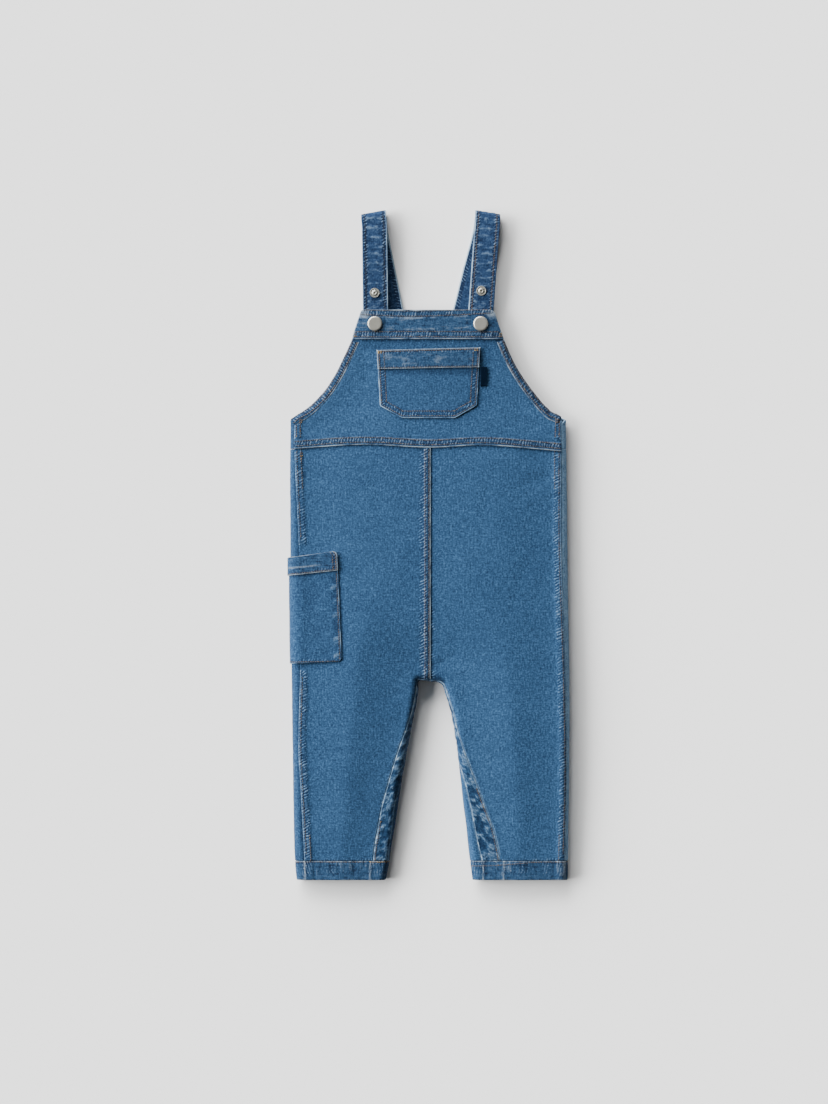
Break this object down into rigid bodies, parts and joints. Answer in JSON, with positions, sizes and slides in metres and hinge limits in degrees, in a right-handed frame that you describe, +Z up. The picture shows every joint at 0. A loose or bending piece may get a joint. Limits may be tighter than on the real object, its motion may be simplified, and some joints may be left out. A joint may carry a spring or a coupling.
{
  "type": "kids denim dungarees",
  "caption": "Kids' denim dungarees laid flat: bib with chest pocket, folded snap straps, thigh pocket and inner-leg gussets, open at neck and hems.",
  "frame": {"origin": "on the surface that the garment lies on, under the middle of its length and width", "axes": "+X to the right across the laid garment seen from above, +Y from the leg hems towards the straps, +Z up from the surface to the front of the garment"},
  "size_m": [0.2815, 0.669, 0.0209],
  "materials": {
    "denim": "washed mid-blue denim, matt with a fine slub",
    "seam_denim": "the same denim doubled, with pale worn high spots",
    "gusset_denim": "the same denim, darker and crinkled",
    "woven_tape": "fine dark navy woven tape",
    "nickel": "brushed pale nickel"
  },
  "bodies": {
    "root": {"back_bib": "denim", "back_leg_left": "denim", "back_leg_right": "denim", "front_leg_left": "denim", "front_leg_right": "denim", "bib_panel": "denim", "chest_pocket": "denim", "thigh_pocket": "denim", "waist_seam": "seam_denim", "centre_seam": "seam_denim", "bib_band": "seam_denim", "armhole_hem_left": "seam_denim", "armhole_hem_right": "seam_denim", "leg_hem_left": "seam_denim", "leg_hem_right": "seam_denim", "chest_pocket_hem": "seam_denim", "thigh_pocket_hem": "seam_denim", "strap_left": "seam_denim", "strap_right": "seam_denim", "gusset_left": "gusset_denim", "gusset_right": "gusset_denim", "side_tab": "woven_tape", "snap_cap_left": "nickel", "snap_cap_right": "nickel", "snap_socket_left": "nickel", "snap_socket_right": "nickel", "strap_stud_left": "nickel", "strap_stud_right": "nickel"}
  },
  "joints": []
}
